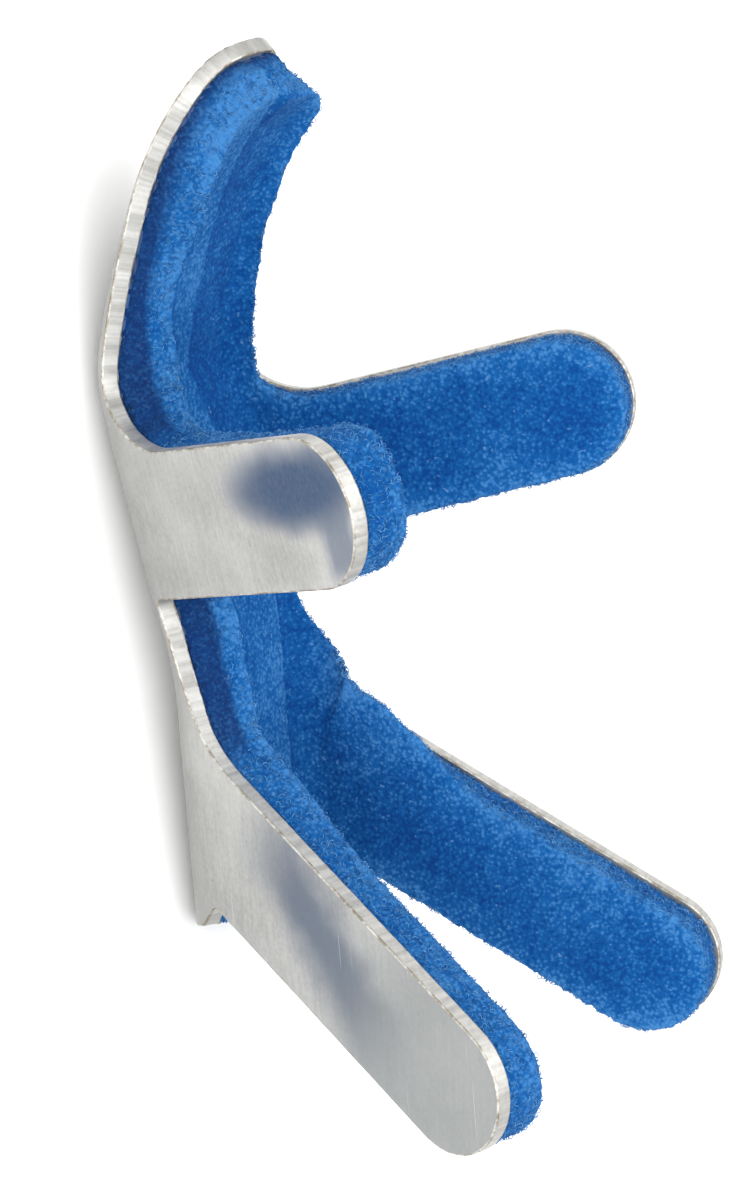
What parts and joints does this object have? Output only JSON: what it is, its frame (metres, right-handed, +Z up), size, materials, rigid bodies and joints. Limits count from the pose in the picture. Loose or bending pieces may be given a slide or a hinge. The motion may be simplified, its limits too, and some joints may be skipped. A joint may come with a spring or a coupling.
{
  "type": "finger splint",
  "caption": "Four-prong finger splint: a bent aluminium plate lined with blue foam, with two finger prongs, two hand legs and a curled fingertip end.",
  "frame": {"origin": "middle of the footprint, on the surface that the splint lies on, on its back", "axes": "+X sideways, across the finger; +Y along the finger to the fingertip; +Z up, out of the open side of the trough"},
  "size_m": [0.0452, 0.0862, 0.0365],
  "materials": {
    "aluminium": "satin",
    "foam": "matte"
  },
  "bodies": {
    "root": {"aluminium_plate": "aluminium", "foam_lining": "foam"}
  },
  "joints": []
}
